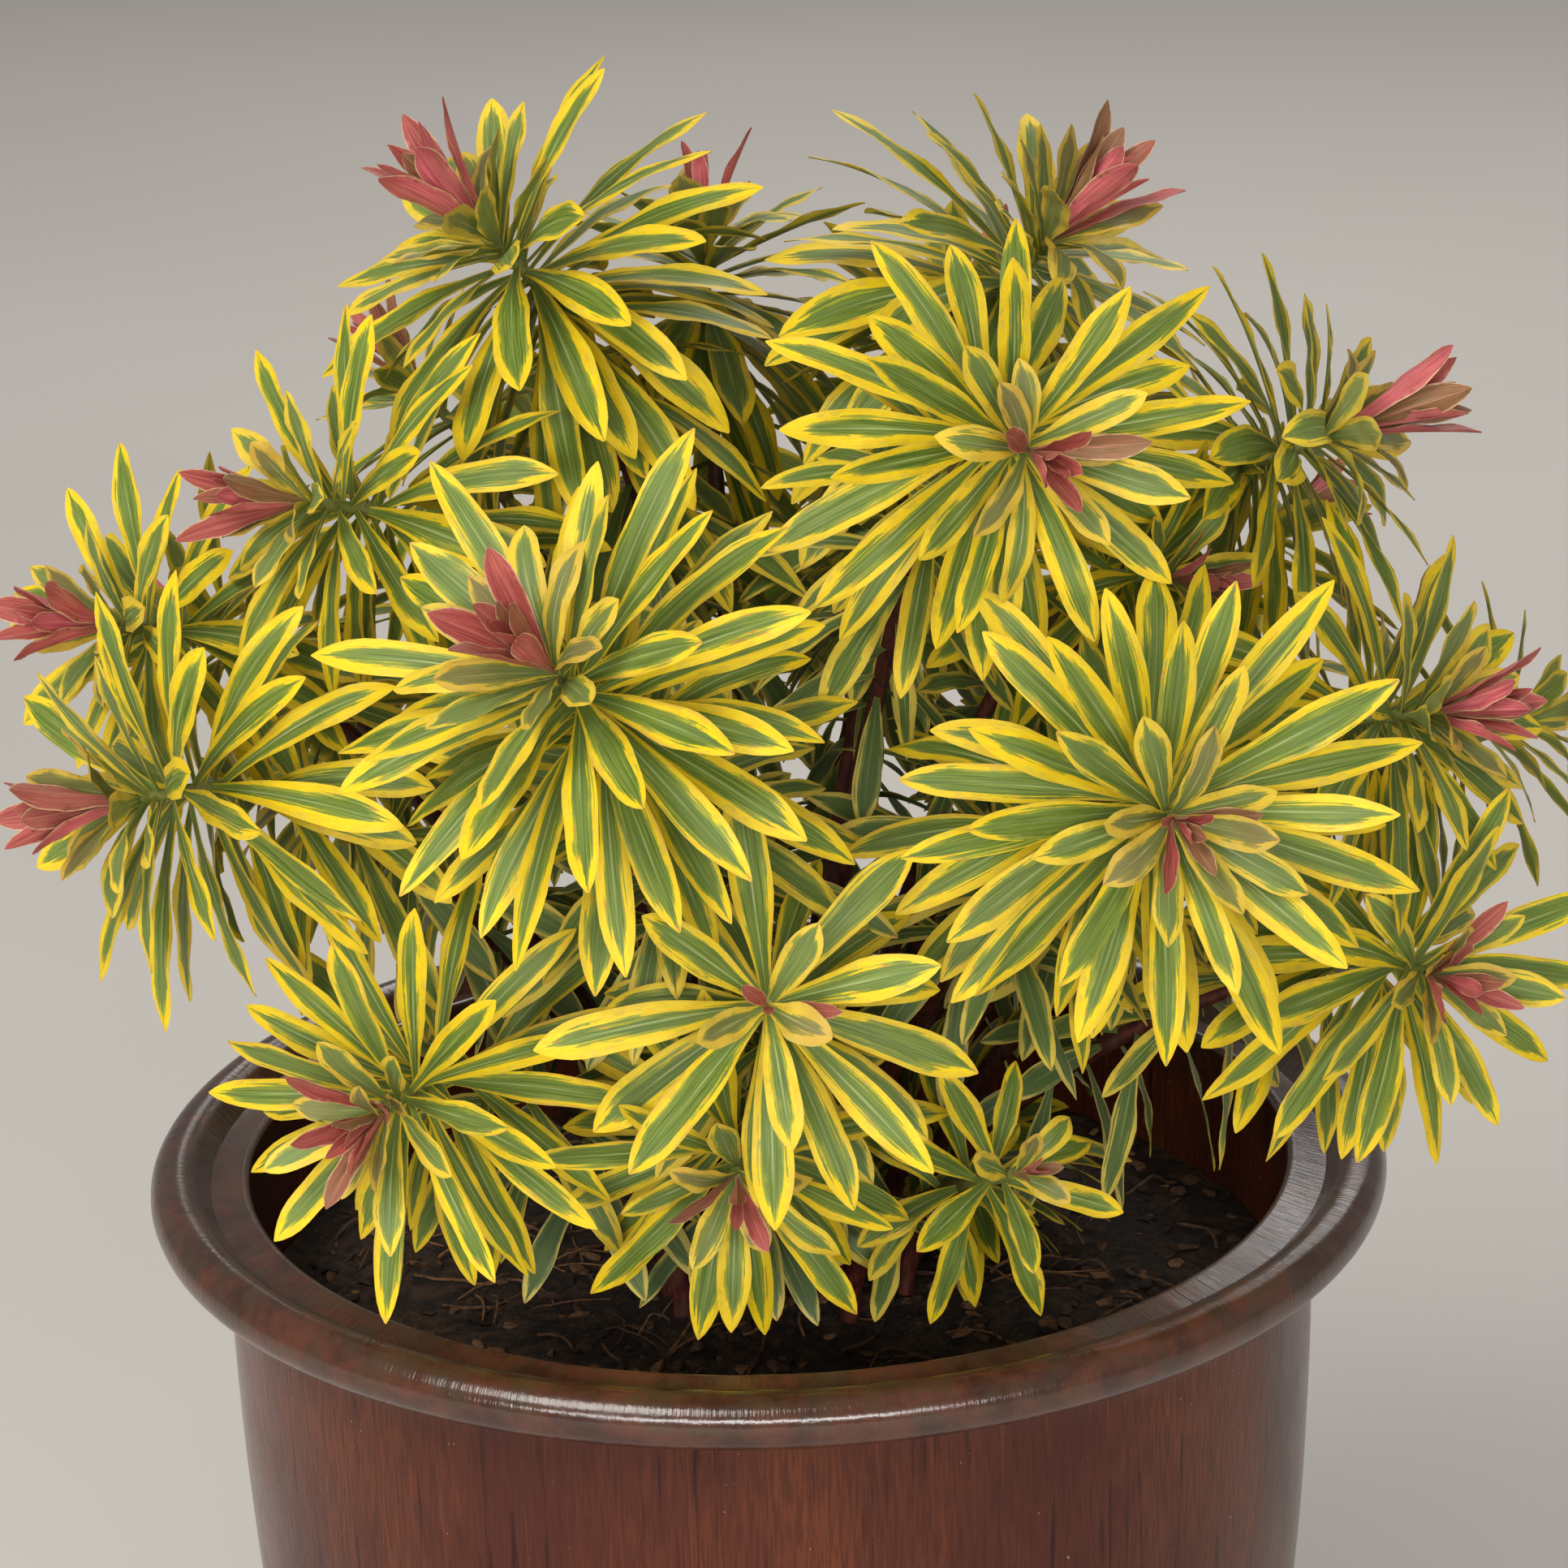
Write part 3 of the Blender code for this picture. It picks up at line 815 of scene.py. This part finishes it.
def grow(thicket, rng, make, owner, tries, keep_at_worst):
    """Places one blade, trying a few turns until it crosses nothing."""
    best, best_count = None, None
    for attempt in range(tries):
        leaf = make(attempt)
        verts, faces = leaf_surface(leaf)
        count = thicket.crossings(verts, faces, owner)
        if best_count is None or count < best_count:
            best, best_count, best_surface = leaf, count, (verts, faces)
        if count == 0:
            break
    if best_count > keep_at_worst:
        return None
    thicket.add(*best_surface, ("leaf", owner))
    return best


def blades_mesh(name, leaves, tones=None):
    """One mesh of closed thin blades, each with its own place in the bake map."""
    ring = 2 * ACROSS
    verts, faces = [], []
    blade_uv, bake_uv = [], []
    seeds, ages, unders, tone_values = [], [], [], []
    count = max(len(leaves), 1)
    columns = max(1, math.ceil(math.sqrt(count * 3.0)))
    rows_needed = math.ceil(count / columns)
    margin = 0.06
    places = stations(ALONG)
    for index, leaf in enumerate(leaves):
        rows, normals = leaf.grid(ALONG, ACROSS)
        start = len(verts)
        for t, row, n in zip(places, rows, normals):
            thin = BLADE_HALF_THICK * (1.0 - 0.5 * t)
            for k in range(ACROSS + 1):
                v = 2.0 * k / ACROSS - 1.0
                verts.append(row[k] + n * thin * (1.0 - abs(v)))
                unders.append(0.0 if 0 < k < ACROSS else 0.3)
            for k in range(ACROSS - 1, 0, -1):
                v = 2.0 * k / ACROSS - 1.0
                rib = 1.6 if k == ACROSS // 2 else 1.0
                verts.append(row[k] - n * thin * rib * (1.0 - abs(v) * 0.8) * 1.6)
                unders.append(1.0)
        seeds += [leaf.seed] * (ring * (ALONG + 1))
        ages += [leaf.age] * (ring * (ALONG + 1))
        tone_values += [tones[index] if tones else 0.0] * (ring * (ALONG + 1))
        column, line = index % columns, index // columns
        x0, x1 = (column + margin) / columns, (column + 1 - margin) / columns
        y0, y1 = (line + margin) / rows_needed, (line + 1 - margin) / rows_needed
        for i in range(ALONG):
            for k in range(ring):
                j = (k + 1) % ring
                a, b = start + i * ring, start + (i + 1) * ring
                faces.append((a + k, a + j, b + j, b + k))
                u_a = 1.0 - abs(1.0 - k / ACROSS)
                u_b = 1.0 - abs(1.0 - (k + 1) / ACROSS)
                t0, t1 = places[i], places[i + 1]
                blade_uv += [(u_a, t0), (u_b, t0), (u_b, t1), (u_a, t1)]
                p, q = x0 + (x1 - x0) * k / ring, x0 + (x1 - x0) * (k + 1) / ring
                r, s = y0 + (y1 - y0) * t0, y0 + (y1 - y0) * t1
                bake_uv += [(p, r), (q, r), (q, s), (p, s)]
        first = tuple(start + k for k in reversed(range(ring)))
        final = tuple(start + ALONG * ring + k for k in range(ring))
        faces += [first, final]
        blade_uv += [(0.5, 0.0)] * ring + [(0.5, 1.0)] * ring
        middle = (x0 + x1) / 2
        bake_uv += [(middle, y0)] * ring + [(middle, y1)] * ring
    mesh = bpy.data.meshes.new(name)
    mesh.from_pydata([tuple(v) for v in verts], [], faces)
    for layer_name, values in (("OFBake", bake_uv), ("Blade", blade_uv)):
        layer = mesh.uv_layers.new(name=layer_name)
        layer.data.foreach_set("uv", np.array(values, np.float32).ravel())
    for key, values in (("seed", seeds), ("age", ages), ("under", unders), ("tone", tone_values)):
        attribute = mesh.attributes.new(key, "FLOAT", "POINT")
        attribute.data.foreach_set("value", np.array(values, np.float32))
    mesh.validate()
    mesh.update()
    return mesh


# For each head: length of its longest leaves and their width as a share of it,
# number of leaves round its middle and further down the stem, how far they hang,
# how far the lowest lean from the tip (degrees), and the number and length of
# the young red leaves at the tip.
USUAL = (0.057, 0.165, 38, 30, 0.42, 116, 8, 0.034)
HEADS = (
    (0.067, 0.178, 58, 40, 0.50, 126, 10, 0.046), (0.060, 0.186, 56, 40, 0.50, 126, 4, 0.034),
    (0.066, 0.186, 66, 40, 0.55, 128, 11, 0.042), (0.061, 0.160, 38, 34, 0.30, 100, 8, 0.032),
    (0.046, 0.175, 28, 28, 0.40, 105, 8, 0.028), (0.059, 0.194, 62, 40, 0.55, 128, 10, 0.042),
    (0.059, 0.180, 50, 36, 0.42, 120, 9, 0.038), (0.050, 0.170, 28, 28, 0.45, 116, 8, 0.034),
    (0.068, 0.152, 46, 40, 0.20, 98, 7, 0.028), (0.058, 0.165, 38, 28, 0.35, 106, 7, 0.033),
    (0.052, 0.186, 44, 36, 0.42, 120, 9, 0.036), (0.052, 0.186, 42, 34, 0.40, 120, 8, 0.038),
    (0.059, 0.180, 48, 36, 0.38, 118, 9, 0.040), (0.069, 0.150, 48, 42, 0.20, 98, 9, 0.040),
    (0.057, 0.158, 38, 24, 0.24, 98, 8, 0.034), (0.057, 0.190, 15, 30, 0.24, 98, 3, 0.024),
    (0.054, 0.168, 28, 20, 0.26, 98, 4, 0.029), (0.037, 0.230, 15, 14, 0.24, 98, 4, 0.020),
    (0.050, 0.165, 32, 30, 0.45, 114, 8, 0.032),
) + (USUAL,) * 9


def tip_leaves(shoot, count, length, rng, thicket):
    """The tuft of young leaves, still half closed round the tip."""
    opening = 34 if shoot.axis.y < -0.8 else 17
    leaves, tones = [], []
    turn = rng.random() * math.tau
    for i in range(count):
        share = i / max(count - 1, 1)
        turn += GOLDEN
        size = length * (0.66 + 0.34 * share) * rng.uniform(0.90, 1.06)
        root, _ = shoot.at(0.001 + 0.005 * share)
        leaf = Leaf(
            root, shoot.axis, turn, math.radians(5 + opening * share) * rng.uniform(0.7, 1.3),
            math.radians(rng.uniform(2, 16) * share), size, size * rng.uniform(0.20, 0.25),
            math.radians(rng.uniform(34, 50)), 0.02, rng.uniform(-0.4, 0.4), rng.random(), 0.0,
        )
        verts, faces = leaf_surface(leaf)
        thicket.add(verts, faces, ("leaf", shoot.number))
        leaves.append(leaf)
        tones.append(rng.random())
    return leaves, tones


def main_leaves(shoot, style, rng, thicket, turn):
    """The leaves round the head's middle, the youngest ones near its tip."""
    longest, width, count, _, droop, widest_lean, _, _ = style
    leaves = []
    for i in range(count):
        share = i / (count - 1)
        turn += GOLDEN
        length_share = 0.46 + 0.54 * smooth(share / 0.46)
        root, along = shoot.at(0.005 + 0.026 * share)
        tilt = 30 + (widest_lean - 30) * share**0.80
        curl = rng.uniform(25, 75) if share < 0.22 and rng.random() < 0.4 else 8 + 12 * share

        def make(attempt):
            loose = 1.0 + attempt * 0.8
            size = longest * length_share * rng.uniform(0.86, 1.06) * 0.985**attempt
            return Leaf(
                root, along, turn + rng.uniform(-0.12, 0.12) * loose,
                math.radians(tilt + rng.uniform(-6, 6) * loose),
                math.radians(curl + rng.uniform(-6, 10)), size,
                longest * width * (0.74 + 0.26 * length_share) * rng.uniform(0.88, 1.08),
                math.radians(rng.uniform(8, 26)), droop * share * rng.uniform(0.7, 1.3),
                rng.uniform(-0.4, 0.4), rng.random(), 0.02 + 0.60 * share,
            )

        leaf = grow(thicket, rng, make, shoot.number, 12, 3)
        if leaf:
            leaves.append(leaf)
    return leaves, turn


def lower_leaves(shoot, style, rng, thicket, turn):
    """Older leaves further down the stem, drooping and paler."""
    longest, width, _, count, _, widest_lean, _, _ = style
    leaves = []
    span = min(0.135, shoot.length * 0.66) - 0.032
    for i in range(count):
        share = (i + 0.5) / count
        turn += GOLDEN
        root, along = shoot.at(0.032 + span * share)

        def make(attempt):
            loose = 1.0 + attempt * 1.1
            size = longest * rng.uniform(0.74, 0.98) * (1.0 - 0.14 * share) * 0.96**attempt
            return Leaf(
                root, along, turn + rng.uniform(-0.15, 0.15) * loose,
                math.radians(widest_lean - 14 + 16 * share + rng.uniform(-9, 9) * loose),
                math.radians(rng.uniform(4, 26)), size, size * width * rng.uniform(0.95, 1.2),
                math.radians(rng.uniform(8, 22)), 0.30 + rng.uniform(0, 0.30),
                rng.uniform(-0.5, 0.5), rng.random(), 0.60 + 0.40 * share * rng.uniform(0.7, 1.0),
            )

        leaf = grow(thicket, rng, make, shoot.number, 12, 0)
        if leaf:
            leaves.append(leaf)
    return leaves


def solid_surface(piece):
    """A piece's mesh as plain lists, for keeping leaves clear of it."""
    mesh = piece.data
    return [v.co.copy() for v in mesh.vertices], [tuple(p.vertices) for p in mesh.polygons]


def make_foliage(shoots, stems, solids):
    """Every head: first all the tips and main leaves, then the lower ones."""
    leaf_look, young_look = leaf_material(), young_leaf_material()
    thicket = Thicket()
    for piece in solids:
        thicket.add(*solid_surface(piece), ("solid", 0))
    for shoot, stem in zip(shoots, stems):
        thicket.add(*solid_surface(stem), ("stem", shoot.number))
    grown = {}
    for shoot, style in zip(shoots, HEADS):
        rng = random.Random(1000 + shoot.number)
        young, tones = tip_leaves(shoot, style[6], style[7], rng, thicket)
        leaves, turn = main_leaves(shoot, style, rng, thicket, rng.random() * math.tau)
        grown[shoot.number] = (young, tones, leaves, turn, rng)
    for shoot, style in zip(shoots, HEADS):
        young, tones, leaves, turn, rng = grown[shoot.number]
        leaves += lower_leaves(shoot, style, rng, thicket, turn)
        number = shoot.number
        name = f"foliage_{number:02d}"
        add_piece(name, blades_mesh(name, leaves), leaf_look, [f"leaves_{number:02d}"], 60)
        name = f"young_tuft_{number:02d}"
        add_piece(name, blades_mesh(name, young, tones), young_look, [], 60)
    print("leaves grown:", sum(len(g[2]) for g in grown.values()))


# ============================================================================
# studio
# ============================================================================
def area_light(name, place, target, size, power, colour):
    data = bpy.data.lights.new(name, "AREA")
    data.shape = "RECTANGLE"
    data.size, data.size_y = size
    data.energy = power
    data.color = colour
    lamp = bpy.data.objects.new(name, data)
    lamp.location = place
    lamp.rotation_euler = (Vector(target) - Vector(place)).to_track_quat("-Z", "Y").to_euler()
    bpy.context.scene.collection.objects.link(lamp)


def make_studio():
    """Pale floor, soft light, and the camera at the photograph's angle."""
    mesh = bpy.data.meshes.new("studio_floor")
    half = 14.0
    mesh.from_pydata([(-half, -half, 0), (half, -half, 0), (half, half, 0), (-half, half, 0)], [], [(0, 1, 2, 3)])
    mesh.materials.append(floor_material())
    floor = bpy.data.objects.new("studio_floor", mesh)
    floor.location.z = pot_low.z - 0.0005
    bpy.context.scene.collection.objects.link(floor)

    world = bpy.data.worlds.new("studio")
    world.use_nodes = True
    background = world.node_tree.nodes["Background"]
    background.inputs[0].default_value = (0.96, 0.93, 0.89, 1.0)
    background.inputs[1].default_value = 0.26
    bpy.context.scene.world = world
    bpy.context.scene.view_settings.view_transform = "Standard"
    area_light("key", (-1.2, -1.5, 2.4), (0.0, 0.0, 0.40), (1.6, 1.2), 48.0, (1.0, 0.97, 0.92))
    area_light("front", (-0.3, -3.2, 1.35), (0.0, 0.0, 0.30), (4.6, 0.5), 88.0, (1.0, 0.98, 0.96))
    area_light("back", (0.6, 2.2, 2.2), (0.0, 0.0, 0.40), (2.0, 1.2), 30.0, (1.0, 0.98, 0.95))

    rise, tilt = math.radians(23.65), math.radians(19.72)
    turn, roll = math.radians(0.30), math.radians(1.62)
    rim = Vector((0.0, 0.0, pot_high.z - BEAD_R))
    data = bpy.data.cameras.new("camera")
    data.sensor_width = 36.0
    data.lens = 124.27
    camera = bpy.data.objects.new("camera", data)
    place = rim + 1.5 * Vector((0.0, -math.cos(rise), math.sin(rise)))
    facing = Matrix.Rotation(-turn, 4, "Z") @ Matrix.Rotation(math.pi / 2 - tilt, 4, "X")
    camera.matrix_world = Matrix.Translation(place) @ facing @ Matrix.Rotation(-roll, 4, "Z")
    bpy.context.scene.collection.objects.link(camera)
    bpy.context.scene.camera = camera


def main():
    make_studio()
    pot = make_pot()
    soil = make_soil()
    make_litter()
    shoots = [ShootPath(number) for number in range(1, SHOOTS + 1)]
    bark = stem_material()
    stems = [make_stem(shoot, bark) for shoot in shoots]
    make_foliage(shoots, stems, [pot, soil])


main()
